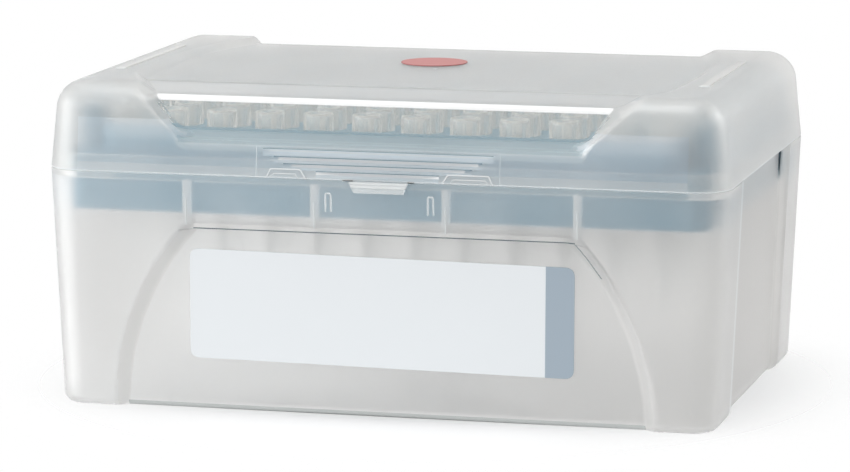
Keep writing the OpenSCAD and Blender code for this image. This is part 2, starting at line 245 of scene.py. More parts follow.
def label_film(name, colour):
    """Coated label film: even ink under a satin top coat, faint orange peel."""
    material, tree, shader, coords = new_material(name)
    ink = linear(colour)
    thin_ink = tuple(0.975 * c for c in ink[:3]) + (1.0,)
    peel = add(tree, "ShaderNodeTexNoise", Vector=coords, Scale=1 / (1.2 * MM))
    fade = add(tree, "ShaderNodeTexNoise", Vector=coords, Scale=1 / (20 * MM))
    tint = add(tree, "ShaderNodeMix", {"data_type": "RGBA"}, Factor=fade, i6=thin_ink, i7=ink)
    plug(
        tree, shader, Base_Color=tint.outputs[2],
        Roughness=add(tree, "ShaderNodeMapRange", Value=peel, To_Min=0.39, To_Max=0.45),
        Normal=add(tree, "ShaderNodeBump", Height=peel, Distance=0.01 * MM, Strength=0.3),
    )
    return material


# Frosted skins: colour, roughness and share of light let through; a far colour paints
# the light's fall-off from one end of the part to the other
tub_frost = frosted_polypropylene("frosted_polypropylene_tub", "#FFFFFE", 0.36, 0.84, far="#F0EFED")
lid_frost = frosted_polypropylene(
    "frosted_polypropylene_lid", "#F0EFEC", 0.35, 0.84, shine=0.45, far="#F7F6F3")
face_frost = frosted_polypropylene(
    "frosted_polypropylene_lid_front", "#FBFDFD", 0.38, 0.81, shine=0.4, far="#F4F6F8", cloud=0.12)
ridge_frost = frosted_polypropylene("frosted_polypropylene_ridge", "#F4F9FC", 0.40, 0.64)
# grey copy of the frost: painted shade in the fold at each end panel's back step
fold_shade = frosted_polypropylene("frosted_polypropylene_fold_painted_shade", "#E4E3E0", 0.40, 0.80)
inner_frost = frosted_polypropylene("polypropylene_inner_skin", "#FFFFFF", 0.42, 0.93, far="#F2F2F2")
# darker, warm grey copy of the frost for the end panels, darkest towards the front: painted shade
end_panel_shade = frosted_polypropylene(
    "frosted_polypropylene_end_panel_painted_shade", "#E2E0DD", 0.36, 0.84, far="#ECEAE7", along="Y")
# milkier, lighter copy of the frost for steps, the tub's corners over the rim, the top bars and the lid's
# lower front and sloped band: milkier where thick, and lighter as a painted highlight
step_frost_and_highlight = frosted_polypropylene("frosted_polypropylene_step_and_painted_highlight", "#F8F7F5", 0.40, 0.70, far="#F0EFED")
lip_frost = frosted_polypropylene("frosted_polypropylene_lip", "#F7FBFC", 0.30, 0.98)
rib_frost = frosted_polypropylene("polypropylene_rib", "#F7F9F9", 0.50, 0.72)
ledge_frost = frosted_polypropylene(
    "polypropylene_window_ledge", "#DFE6E7", 0.70, 0.70, shine=0.0, bend=1.2)

# Thick and polished places of the same mouldings, painted highlights, and the tips
milky = milky_polypropylene("milky_thick_polypropylene_and_painted_highlight", "#F4F6F6", 0.45)
# nearly white: painted highlight on the window's polished edge and on the grip's shingles
highlight_white = milky_polypropylene("polypropylene_painted_edge_highlight", "#FFFFFF", 0.18)
window_clear = clear_polypropylene("polished_polypropylene_window", "#FCFBF8", 0.06, 0.90)
tip_clear = clear_polypropylene("clear_polypropylene_collar", "#FFFDF9", 0.13, 0.74, "#E6E8E8", "#E6E8E8")
shaft_clear = clear_polypropylene("clear_polypropylene_shaft", "#FBFCFC", 0.12, 0.94)

# Folds and gaps too fine for light to reach into, and the tray
foot_shade = satin_polypropylene("shaded_foot", "#C6C9C8", "#BEC2C1")
groove_dark = satin_polypropylene("shaded_groove", "#8296A0", "#788C96")
line_dark = satin_polypropylene("shaded_ledge_line", "#5F6B70", "#566268")
line_soft = satin_polypropylene("shaded_arch_line", "#9AA3A6", "#929B9E")
gap_dark = satin_polypropylene("shaded_latch_gap", "#2C3032", "#25292B")
tray_blue = satin_polypropylene("blue_grey_polypropylene_tray", "#5B8BA1", "#55859B")

filter_white = porous_polyethylene("sintered_polyethylene_filter", "#F2F2EE")
label_white = label_film("white_label_film", "#E6EAED")
label_blue = label_film("blue_grey_label_ink", "#A0AEBA")
sticker_red = label_film("red_sticker_film", "#BF7370")


# ------------------------------------------------------------------ mesh helpers

CREASE = 32                     # degrees from which an edge is kept crisp


def rise(share, low, high):
    """0 to 1 up a straight slope, rounded over low at its foot and over high at its head."""
    share = min(max(share, 0.0), 1.0)
    slope = 1 / (1 - low / 2 - high / 2)
    if share < low:
        return slope * share * share / (2 * low)
    if share > 1 - high:
        return 1 - slope * (1 - share) ** 2 / (2 * high)
    return slope * (share - low / 2)


def ease(share, soft=0.2):
    """The same, rounded alike at both ends."""
    return rise(share, soft, soft)


def mix(a, b, share):
    return a + (b - a) * share


def stations(start, end, count):
    """count + 1 even steps from start to end."""
    return [mix(start, end, i / count) for i in range(count + 1)]


def turn_outward(mesh, weld=0.0):
    """Turns every face outwards, after joining points within weld millimetres."""
    work = bmesh.new()
    work.from_mesh(mesh)
    if weld:
        bmesh.ops.remove_doubles(work, verts=work.verts, dist=weld * MM)
    bmesh.ops.recalc_face_normals(work, faces=work.faces)
    work.to_mesh(mesh)
    work.free()


def show(name, mesh, sharp):
    """An object with this mesh, smooth except at edges of more than sharp degrees."""
    mesh.polygons.foreach_set("use_smooth", [True] * len(mesh.polygons))
    mesh.set_sharp_from_angle(angle=math.radians(sharp))
    piece = bpy.data.objects.new(name, mesh)
    bpy.context.scene.collection.objects.link(piece)
    return piece


def make_piece(name, points, faces, materials, slots=None, sharp=CREASE):
    """A mesh object from points in millimetres; slots are its faces' material numbers."""
    mesh = bpy.data.meshes.new(name)
    mesh.from_pydata([(x * MM, y * MM, z * MM) for x, y, z in points], [], faces)
    for material in materials:
        mesh.materials.append(material)
    if slots:
        mesh.polygons.foreach_set("material_index", slots)
    turn_outward(mesh)
    return show(name, mesh, sharp)


def quads_between(low, high, closed=True):
    """Faces that join two rows of point numbers."""
    count = len(low) if closed else len(low) - 1
    return [
        (low[i], low[(i + 1) % len(low)], high[(i + 1) % len(high)], high[i])
        for i in range(count)
    ]


def plate(name, outline, holes, thickness, edge, place, material, steps=2, sharp=CREASE):
    """Flat plate with its edges rounded in steps: outline and holes in its own plane."""
    curve = bpy.data.curves.new(name, "CURVE")
    curve.dimensions = "2D"
    curve.fill_mode = "BOTH"
    curve.extrude = (thickness / 2 - edge) * MM
    curve.bevel_depth = edge * MM
    curve.bevel_resolution = steps
    curve.offset = -edge * MM
    for loop in [outline] + holes:
        spline = curve.splines.new("POLY")
        spline.points.add(len(loop) - 1)
        for point, (x, y) in zip(spline.points, loop):
            point.co = (x * MM, y * MM, 0, 1)
        spline.use_cyclic_u = True
    source = bpy.data.objects.new(name, curve)
    bpy.context.scene.collection.objects.link(source)
    mesh = bpy.data.meshes.new_from_object(source)
    bpy.data.objects.remove(source)
    bpy.data.curves.remove(curve)
    mesh.name = name
    turn_outward(mesh, weld=0.0005)
    mesh.transform(place)
    mesh.materials.clear()
    mesh.materials.append(material)
    return show(name, mesh, sharp)


def at(x, y, z):
    """Plates lie in XY; this places one flat at a point in millimetres."""
    return Matrix.Translation(Vector((x, y, z)) * MM)


FACING_FRONT = Matrix.Rotation(math.radians(90), 4, "X")        # plate's X, Y to X, Z
FACING_SIDE = Matrix(((0, 0, 1, 0), (1, 0, 0, 0), (0, 1, 0, 0), (0, 0, 0, 1)))  # X, Y to Y, Z


def circle(x, y, radius, count=32):
    return [
        (x + radius * math.cos(math.tau * i / count), y + radius * math.sin(math.tau * i / count))
        for i in range(count)
    ]


def round_corners(corners, radius, steps=5):
    """Outline with each corner rounded."""
    outline = []
    count = len(corners)
    for i in range(count):
        here = Vector(corners[i])
        back = Vector(corners[i - 1]) - here
        on = Vector(corners[(i + 1) % count]) - here
        reach = min(radius, 0.45 * back.length, 0.45 * on.length)
        start, end = here + back.normalized() * reach, here + on.normalized() * reach
        for k in range(steps + 1):
            s = k / steps
            point = start * (1 - s) ** 2 + here * 2 * s * (1 - s) + end * s * s
            outline.append((point.x, point.y))
    return outline


def ribbon(path, width):
    """Outline of a strip of even width along an open path."""
    sides = ([], [])
    for i, point in enumerate(path):
        here = Vector(point)
        before = (here - Vector(path[i - 1])).normalized() if i else None
        after = (Vector(path[i + 1]) - here).normalized() if i + 1 < len(path) else None
        along = ((before or after) + (after or before)).normalized()
        reach = width / 2 / max(along.dot(before or after), 0.3)
        for side, sign in zip(sides, (-1, 1)):
            side.append((here.x - sign * along.y * reach, here.y + sign * along.x * reach))
    return sides[0] + list(reversed(sides[1]))


def rectangle(x0, y0, x1, y1):
    return [(x0, y0), (x1, y0), (x1, y1), (x0, y1)]


def join(name, pieces):
    """Joins pieces into the first one and names it."""
    with bpy.context.temp_override(
        active_object=pieces[0], object=pieces[0],
        selected_objects=pieces, selected_editable_objects=pieces,
    ):
        bpy.ops.object.join()
    pieces[0].name = name
    pieces[0].data.name = name
    return pieces[0]


def cut_away(piece, cutters):
    """Cuts the joined cutters out of piece, with their finish left on the cut, and removes them."""
    tool = join("tool", cutters)
    modifier = piece.modifiers.new("cut", "BOOLEAN")
    modifier.operation = "DIFFERENCE"
    modifier.solver = "EXACT"
    modifier.use_self = True
    modifier.material_mode = "TRANSFER"
    modifier.object = tool
    graph = bpy.context.evaluated_depsgraph_get()
    mesh = bpy.data.meshes.new_from_object(piece.evaluated_get(graph))
    piece.modifiers.clear()
    old, piece.data = piece.data, mesh
    bpy.data.meshes.remove(old)
    bpy.data.objects.remove(tool)
    mesh.set_sharp_from_angle(angle=math.radians(CREASE))


def block(low, high):
    """Box-shaped cutter."""
    points = [(x, y, z) for x in (low[0], high[0]) for y in (low[1], high[1]) for z in (low[2], high[2])]
    faces = [(0, 1, 3, 2), (4, 6, 7, 5), (0, 4, 5, 1), (2, 3, 7, 6), (0, 2, 6, 4), (1, 5, 7, 3)]
    return make_piece("cutter", points, faces, [tub_frost])


# ------------------------------------------------------------------ tub

# Radii across the arch's step, and half lengths across an end panel's step
ARCH_STEPS = [46.8, 47.1, 47.4, 47.7, 48.05, 48.4, 48.8, 49.2, 49.5, 49.8, 50.1]
END_STEPS = [25.0, 24.7, 24.4, 24.1, 23.8, 23.5, 23.2, 22.9, 22.6, 22.3]
ARCH_GROW = 0.47                        # share of the wall by which the arch's radii grow inside
LEDGE_RUN = 0.5                         # height over which the ledge comes forward
LINE_LEFT, LINE_RIGHT = -34.0, 35.7     # ends of the shaded line along the ledge
RIBS_X = (-35.7, -12, 12, 35.7)         # tray seats behind the upper band
SHELF_IN, SHELF_OUT, SHELF_Z = 36.6, 38.95, 35.7    # shelf of such a rib: its depths and height
LATCH_SLOT_X = 5.25                     # slots in the rim, one each side of the latch
TUB_FINISHES = [
    tub_frost, inner_frost, line_dark, line_soft, step_frost_and_highlight, foot_shade, lip_frost, end_panel_shade,
    fold_shade, milky,
]
FROST, SKIN, LINE, SOFT_LINE, STEP, FOOT, LIP, SIDE_SHADE, FOLD_SHADE, END_STEP_HIGHLIGHT = range(10)


def foot_inset(height, radius):
    """How far a rounded bottom edge stands back at this height above the bottom."""
    if height >= radius:
        return 0.0
    return radius - math.sqrt(radius ** 2 - (radius - height) ** 2)


def ledge_dip(radius, z):
    """The ledge rounds down where it meets the arch; near it the rows of points follow."""
    near = 1 - min(abs(radius - ARCH_OUT) / 2.6, 1)
    return -0.3 * near * near * max(0.0, 1 - abs(z - LEDGE_Z) / 3)


def quarter(z, t, sunk):
    """Points of one quarter of the tub's outline, from front middle to end middle.
    t is the inset from the outer skin; sunk adds the arched and end panels."""
    grow = ARCH_GROW * t
    foot = foot_inset(max(z - t, 0), max(FOOT_R - t, 0.5)) if sunk else 0
    lean = (SEAM_Z - min(z, SEAM_Z)) * TUB_LEAN
    face_y = BOX_D / 2 - lean - t - foot
    face_x = BOX_W / 2 - lean - t - foot
    small_foot = foot_inset(max(z - t, 0), PANEL_FOOT_R if t == 0 else 0.5) if sunk else 0
    panel_y = PANEL_Y + PANEL_Y_LEAN * z - t - small_foot
    panel_x = PANEL_X + PANEL_X_LEAN * z - t - small_foot
    radius = CORNER_R - lean - t - foot
    level = min(z, LEDGE_Z + t)
    points = []

    def front(radial, x=None):
        """A point of the front, at this distance from the arch's centre."""
        dip = ledge_dip(radial - grow, z - t) if sunk else 0
        if x is None:
            x = math.sqrt(radial ** 2 - (level + dip) ** 2)
        depth = 0.0
        if sunk:
            arch = ease((ARCH_OUT + grow - radial) / (ARCH_OUT - ARCH_IN))
            depth = arch * ease((LEDGE_Z + t - z) / LEDGE_RUN)
        points.append((x, -mix(face_y, panel_y, depth), z + dip))

    inner_x = math.sqrt((ARCH_STEPS[0] + grow) ** 2 - level ** 2)
    for share in stations(0, 1, 6)[:-1]:
        front(ARCH_STEPS[0] + grow, inner_x * share)
    for step in ARCH_STEPS:
        front(step + grow)
    for x in stations(points[-1][0], CORNER_X, 3)[1:]:
        points.append((x, -face_y, z))
    for angle in stations(-90, 0, 8)[1:]:
        a = math.radians(angle)
        points.append((CORNER_X + radius * math.cos(a), -CORNER_Y + radius * math.sin(a), z))
    widen = 0.8 * t
    points += [(face_x, -(END_STEPS[0] + widen) - before, z) for before in (5, 1.2)]
    for step in END_STEPS:
        depth = ease((END_OUT - step) / (END_OUT - END_IN)) if sunk else 0
        points.append((mix(face_x, panel_x, depth), -step - widen, z))
    depth = 1.0 if sunk else 0.0
    for share in (0.5, 0.0):
        points.append((mix(face_x, panel_x, depth), -(END_STEPS[-1] + widen) * share, z))
    return points


def whole_ring(points):
    """Mirrors one quarter, front middle to end middle, into the whole ring."""
    back = [(x, -y, z) for x, y, z in reversed(points[:-1])]
    left_back = [(-x, -y, z) for x, y, z in points[1:]]
    left_front = [(-x, y, z) for x, y, z in reversed(points[1:-1])]
    return points + back + left_back + left_front


def quarter_at(z, inset):
    """Quarter outline of the rim and lip: even inset, no sunk panels, at height z."""
    return [(x, y, z) for x, y, _ in quarter(SEAM_Z, inset, False)]


def tub_shell():
    """Rings up the outside, over the rim and the lip, and down the inside."""
    foot = [FOOT_R * (1 - math.cos(math.radians(a))) for a in range(0, 91, 15)]
    outer = foot + [5, 10, 16, 22, 27, 30.5, 32.2]
    outer += [LEDGE_Z + d for d in (-0.6, -0.5, -0.4, -0.3, -0.2, -0.1, 0, 0.18, 0.5, 1.0)]
    outer += [35.2, 37, 40, 42, 42.9]
    rings = [quarter(z, 0, True) for z in outer]
    rings += [quarter(SEAM_Z - 0.08, 0.04, True), quarter(SEAM_Z, 0.2, True)]
    rings += [
        quarter_at(z, inset)
        for inset, z in (
            (LIP_OUT + 0.08, SEAM_Z), (LIP_OUT, SEAM_Z + 0.08), (LIP_OUT, LIP_TOP - 0.3),
            (LIP_OUT + 0.1, LIP_TOP - 0.08), (LIP_OUT + 0.3, LIP_TOP), (LIP_IN - 0.3, LIP_TOP),
            (LIP_IN - 0.1, LIP_TOP - 0.08), (LIP_IN, LIP_TOP - 0.3), (LIP_IN, SEAM_Z - 0.1),
            (LIP_IN, RIM_Z + 0.1),
        )
    ]
    inner_ledge = LEDGE_Z + WALL
    inner = [RIM_Z, 39, 36.5, 35.5] + [inner_ledge + d for d in (0.3, 0.2, 0.1, 0, -0.1, -0.2, -0.3)]
    inner += [34, 33, 30.5, 27, 22, 16, 10, 5]
    inner_r = max(FOOT_R - WALL, 0.5)
    inner += [WALL + inner_r * (1 - math.cos(math.radians(a))) for a in range(90, -1, -30)]
    rings += [quarter(z, WALL, True) for z in inner]
    lip_from, lip_to = len(outer) + 1, len(outer) + 9
    rings = [whole_ring(ring) for ring in rings]
    count = len(rings[0])
    points = [point for ring in rings for point in ring]
    rows = [list(range(k * count, (k + 1) * count)) for k in range(len(rings))]
    faces, slots = [], []
    for k, (low, high) in enumerate(zip(rows, rows[1:])):
        quads = quads_between(low, high)
        faces += quads
        if k < lip_from:
            slots += [outer_slot(points, quad) for quad in quads]
        elif k in (lip_to + 1, lip_to + 2):
            slots += [STEP if abs(points[quad[0]][0]) > CORNER_X - 2 else FROST for quad in quads]
        else:
            slots += [LIP if k <= lip_to else SKIN] * len(quads)
    for row, z in ((rows[0], 0.0), (rows[-1], WALL)):
        centre = len(points)
        points.append((0, 0, z))
        faces += [(row[i], row[(i + 1) % count], centre) for i in range(count)]
        slots += [FROST] * count
    return make_piece("tub", points, faces, TUB_FINISHES, slots)


def outer_slot(points, quad):
    """Finish of a face of the tub's outer skin: steps are milkier and partly a painted
    highlight; folds, the ledge's line, an arch line and the panels' foot have painted shade.
    """
    x, y, z = (sum(points[i][axis] for i in quad) / 4 for axis in range(3))
    if abs(x) > CORNER_X + 3 and abs(y) < END_STEPS[0] + 1.2:   # an end panel and its step
        # the front step gets a painted highlight; the panel and the fold at its back step get painted
        # shade
        if abs(y) > 24.4:
            return END_STEP_HIGHLIGHT if y < 0 else FROST
        return FOLD_SHADE if 22.6 < y < 23.2 else SIDE_SHADE
    if y > -35 or abs(x) > CORNER_X:                            # the corners and the back
        return STEP if z > RIM_Z else FROST
    radius = math.hypot(x, min(z, LEDGE_Z))
    if LINE_LEFT < x < LINE_RIGHT and LEDGE_Z < z < LEDGE_Z + 0.18:
        return LINE
    if x > 0 and 27 < z < LEDGE_Z and 48.05 < radius < 48.4:
        return SOFT_LINE
    if abs(x) < -LINE_LEFT and LEDGE_Z < z < LEDGE_Z + 1.1:
        return STEP
    if z < FOOT_SHADE and radius < ARCH_IN + 0.3:
        return FOOT
    # the lighter step finish is narrower on the left arch than on the right: painted highlight where the
    # light falls
    if z < LEDGE_Z - 0.4 and ARCH_IN < radius < ARCH_OUT - (0.5 if x < 0 else 0.0):
        return STEP
    return FROST


def seat_rib(x, side):
    """Rib inside the upper band that carries the tray's skirt; side is -1 in front."""
    wall_y, foot_z, head_z = BOX_D / 2 - WALL - 0.3, LEDGE_Z + WALL - 0.6, RIM_Z + 0.2
    outline = [(side * y, z) for y, z in (
        (wall_y, foot_z), (SHELF_IN, foot_z), (SHELF_IN, SHELF_Z), (SHELF_OUT, SHELF_Z),
        (SHELF_OUT, head_z), (wall_y, head_z),
    )]
    return plate("rib", outline, [], 1.15, 0.12, at(x, 0, 0) @ FACING_SIDE, rib_frost)


def on_front(x, path, width, material):
    """Fine raised line on the upper band of the tub's front."""
    tilt = Matrix.Rotation(math.atan(TUB_LEAN), 4, "X")
    place = at(x, -BOX_D / 2 + TUB_LEAN * SEAM_Z, 0) @ tilt @ FACING_FRONT
    return plate("line", ribbon(path, width), [], 0.4, min(0.1, width / 3), place, material)


def latch_guide(x):
    """Raised arch beside the latch."""
    path = [(0.5, 37.5), (0.5, 40.5), (0.3, 40.75), (-0.3, 40.75), (-0.5, 40.5), (-0.5, 37.5)]
    return on_front(x, path, 0.3, rib_frost)


def hinge_ear(x):
    """Ear on the tub's back that holds one end of a hinge pin."""
    back = HINGE_Y + 1.74
    outline = round_corners([
        (BOX_D / 2 - 0.9, 35), (BOX_D / 2 - 0.35, 35), (back, 41), (back, HINGE_Z + 2.05),
        (HINGE_Y - 0.8, HINGE_Z + 2.05), (HINGE_Y - 1.85, HINGE_Z + 0.9),
        (HINGE_Y - 1.85, HINGE_Z - 0.8), (BOX_D / 2 - 0.9, HINGE_Z - 0.8),
    ], 0.4, 3)
    hole = circle(HINGE_Y, HINGE_Z, 1.15)
    return plate("ear", outline, [hole], 1.75, 0.15, at(x, 0, 0) @ FACING_SIDE, tub_frost)


def cleft(side_x, side_y):
    """Wedge cut out of an end panel in its corner, under the seam; its cut faces keep the cutter's dark
    finish, a painted shade.
    """
    face = PANEL_X + PANEL_X_LEAN * SEAM_Z
    outline = [(face - 0.5, SEAM_Z - 0.1), (face + 0.35, SEAM_Z - 0.1), (face - 0.1, 37.1)]
    points = [(side_x * x, side_y * y, z) for y in (22.2, 23.9) for x, z in outline]
    faces = [(0, 1, 2), (5, 4, 3), (0, 3, 4, 1), (1, 4, 5, 2), (2, 5, 3, 0)]
    return make_piece("cutter", points, faces, [groove_dark])


def build_tub():
    """Tub with its tray seats, hinge ears and fine lines."""
    tub = tub_shell()
    cuts = [cleft(side_x, side_y) for side_x in (-1, 1) for side_y in (-1, 1)]
    for x in (-LATCH_SLOT_X, LATCH_SLOT_X):
        cuts.append(block((x - 1.15, -43, 42.8), (x + 1.15, -40.9, SEAM_Z - 0.1)))
    cut_away(tub, cuts)
    parts = [seat_rib(x, side) for side in (-1, 1) for x in RIBS_X]
    parts += [hinge_ear(side * HINGE_X + offset) for side in (-1, 1) for offset in (-4.15, 4.15)]
    # fine milky lines over the ribs: painted highlight
    parts += [on_front(x + 0.35, [(0, 34.2), (0, 39)], 0.16, milky) for x in RIBS_X]
    parts += [latch_guide(x) for x in (-9.0, 9.7)]
    tub = join("tub", [tub] + parts)
    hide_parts("base")
    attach(tub, "tub")


# ------------------------------------------------------------------ lid

LID_FINISHES = [
    lid_frost, window_clear, highlight_white, milky, groove_dark, ledge_frost, inner_frost, ridge_frost,
    face_frost, step_frost_and_highlight,
]
CLEAR, WHITE_HIGHLIGHT, MILKY_HIGHLIGHT, GROOVE, LEDGE, INNER, RIDGE_FACE, FACE, SLOPE = range(1, 10)   # FROST is 0

GRIP_FOOT, GRIP_TOP = SEAM_Z + 0.15, 48.65  # grip pad on the lid's front
RIDGE = 1.2                             # height of one shingle of the grip
RIDGE_HALF = (12.5, 18.3, 20.0, 21.8)   # half length of each shingle, from the seam up
PROUD, CUT = 0.1, 0.5                   # the pad stands out; the cut over each shingle goes in
PAD_EDGE = (22.14, 22.26)               # half widths between which the pad's edge gets a painted highlight
SLOPE_TOP = SEAM_Z + 2.0                # the front is milkier below this

# Half the width of the lid: points inside the sunk part, points up the slope beside it as
# shares of that slope, then the plain rest
INSIDE_X = [0, 5, 9, 11.2, 12.3, 13.2, 15.8, 17.2, 18.2, 19, 20, 21, 21.8, *PAD_EDGE, 24, 28]
SLOPE_SHARE = [-0.12, 0, 0.05, 0.1, 0.3, 0.5, 0.7, 0.78, 0.86, 0.93, 1.0, 1.08]
OUTSIDE = 3
FACE_SOFT, BACK_SOFT, TOP_SOFT = (0.08, 0.3), (0.15, 0.3), (0.25, 0.35)     # rise's low and high
ACROSS = 2 * (len(INSIDE_X) + len(SLOPE_SHARE) + OUTSIDE) - 1
TURN_STEPS = 8                          # points round an upright corner

TOP_ROWS = [-CORNER_Y, -33, -30.5, -28.6, -27, -26.66, -26.6, -26.54, -26.48, -26.4, -26.28, -26]
TOP_ROWS += [-24, -18, -10, -2, 6, 13, 19, 24, 28, 30.5, 32.5, 34, CORNER_Y]

# Heights of the rings: over the seam with their inset for the rounded lower edge, then over
# the grip's foot for the outer and the inner skin
EDGE = [(0.04, 0.16), (0.06, 0.08), (0.1, 0.03), (0.17, 0), (0.28, 0)]
FACE_ROWS = [0.42, 0.7, 0.95, 1.17]
FACE_ROWS += [RIDGE * i + d for i in (1, 2, 3) for d in (0.03, 0.19, 0.4, 0.7, 0.95, 1.17)]
FACE_ROWS += [4.97, 5.07, 5.18, 5.3, 5.6]
INNER_ROWS = [0.3, 1.5, 3.0, 4.2]

# Section through the window, from the face in over the ledge and up the glass: height on the
# wall beside it, y and z of the sunk skin, its half width, and y and z from there to the
# inner skin
WINDOW = [
    (49.40, -41.48, 49.35, 36.4, 1.20, -1.10),
    (49.90, -40.90, 49.50, 36.2, 0.75, -1.10),
    (50.30, -40.30, 49.53, 35.8, 0.55, -1.10),
    (50.60, -39.60, 49.56, 34.9, 0.70, -1.10),
    (50.80, -39.35, 49.72, 34.5, 0.85, -1.05),
    (51.00, -39.28, 50.10, 34.4, 0.95, -0.90),
    (51.20, -39.26, 50.90, 35.6, 0.95, -0.50),
    (52.00, -39.17, 52.00, 37.6, 0.95, -0.10),
    (52.80, -39.10, 52.80, 38.5, 0.95, 0),
    (53.40, -39.05, 53.40, 39.0, 0.95, 0),
    (54.60, -38.94, 54.60, 39.8, 0.95, 0),
    (55.60, -38.86, 55.60, 40.6, 0.95, 0),
    (56.00, -38.82, 56.00, 40.8, 0.95, 0),
]
GLASS_ROWS, EDGE_ROWS = range(7, 13), range(13, 18)     # bands that end at these rows
FINISH_PAST = {CLEAR: -0.2, LEDGE: 1.2}     # how far a band's finish runs past the half width
WINDOW_GROW = 0.9                       # the inner skin's sunk part is wider by this
BAND_Y, BAND_BACK = -37.8, -26.6        # sloped band between the window and the level middle
BACK_Y, BACK_Z, BACK_R = 32.0, 48.7, 9.3    # rounding of the sunk middle's back edge
BACK_ARC = (30.4, 67.9)                 # degrees of it beside the rounding of the lid's top
BACK_SIDE = (43.3, 2.8)                 # its half width and the width of the slope beside it


def outer_edge(z):
    """Half width at which the window's side slope meets the lid's face."""
    return 36.9 + 1.01 * (z - 49.5)


def middle_z(y):
    """Height of the sunk middle along the depth: sloped band, lip, level, rounded back."""
    if y < BAND_BACK - 0.02:
        return mix(57.0, 57.7, (y - BAND_Y) / (BAND_BACK - BAND_Y))
    if y < BAND_BACK + 0.5:
        return mix(57.7, MID_Z, rise((y - BAND_BACK + 0.02) / 0.34, 0.05, 0.5))
    if y > BACK_Y:
        return BACK_Z + math.sqrt(BACK_R ** 2 - (y - BACK_Y) ** 2)
    return MID_Z


def middle_side(y):
    """Half width of the sunk middle and width of the slope beside it."""
    if y > BACK_Y:
        return BACK_SIDE
    if y > 5:
        return 48.4 - 5.1 * ((y - 5) / 27) ** 2, 3.0
    if y > -26:
        return 48.4 - 1.2 * ((5 - y) / 31) ** 2, 3.2
    return 41.5 + 0.475 * (y - BAND_Y), 3.9 - 0.075 * (y + 35.6)


def window_rows():
    """The window's section with its polished edge, radius 1, and the band's start over it."""
    rows = list(WINDOW)
    for angle in (18, 36, 54, 72, 88):
        out, up = math.cos(math.radians(angle)), math.sin(math.radians(angle))
        rows.append((56 + up, -37.82 - out, 56 + up, 40.8 + 0.7 * up, 0.95 * out, -1.1 * up))
    for z, y in ((57.56, -37.4), (58.15, -37.0), (58.66, -36.5), (58.91, -36.0), (TOP_Z, -35.6)):
        rows.append((z, y, middle_z(y), middle_side(y)[0], 0, -1.1))
    return rows


def back_y(z):
    """Depth of the sunk middle's rounded back at a height."""
    if z > BACK_Z:
        return BACK_Y + math.sqrt(BACK_R ** 2 - (z - BACK_Z) ** 2)
    return BOX_D / 2 - LID_LEAN * (z - SEAM_Z) - 0.27 * (z - SEAM_Z) / (BACK_Z - SEAM_Z)


def back_point(z, t):
    """y and z of the sunk middle's back in the ring at outer height z; t is the inset."""
    if z <= TURN_Z:
        return back_y(z) - t, z
    turned = math.asin(min((z - TURN_Z) / TOP_R, 1)) / math.radians(90)
    a = math.radians(mix(*BACK_ARC, turned))
    return BACK_Y + (BACK_R - t) * math.cos(a), BACK_Z + (BACK_R - t) * math.sin(a)


def grip_relief(x, z):
    """How far the front stands proud (+) or back (-) at the grip pad."""
    x = abs(x)
    if x > 22.2 or z > GRIP_TOP:
        return 0.0
    which = min(max(int((z - GRIP_FOOT) / RIDGE + 0.001), 0), 3)
    up = z - GRIP_FOOT - which * RIDGE
    if up > 1.6:
        return PROUD
    taper = ease((RIDGE_HALF[which] - x) / 3.0, 0.3)
    return PROUD - CUT * rise((up - 0.4) / 0.6, 0.1, 0.1) * taper


def across(half, width, low, high):
    """X and sunk share of the points from one side to the other."""
    side = [(x, 1.0) for x in INSIDE_X]
    side += [(half + s * width, 1 - rise(s, low, high)) for s in SLOPE_SHARE]
    last = side[-1][0]
    side += [(x, 0.0) for x in stations(last, CORNER_X, OUTSIDE)[1:]]
    return [(-x, share) for x, share in reversed(side[1:])] + side


def rounding(start, half_x, half_y, radius, z):
    """Points round one upright corner, without its ends."""
    sx = 1 if start in (-90, 0) else -1
    sy = 1 if start in (0, 90) else -1
    points = []
    for angle in stations(start, start + 90, TURN_STEPS)[1:-1]:
        a = math.radians(angle)
        points.append((
            sx * (half_x - radius) + radius * math.cos(a),
            sy * (half_y - radius) + radius * math.sin(a), z,
        ))
    return points


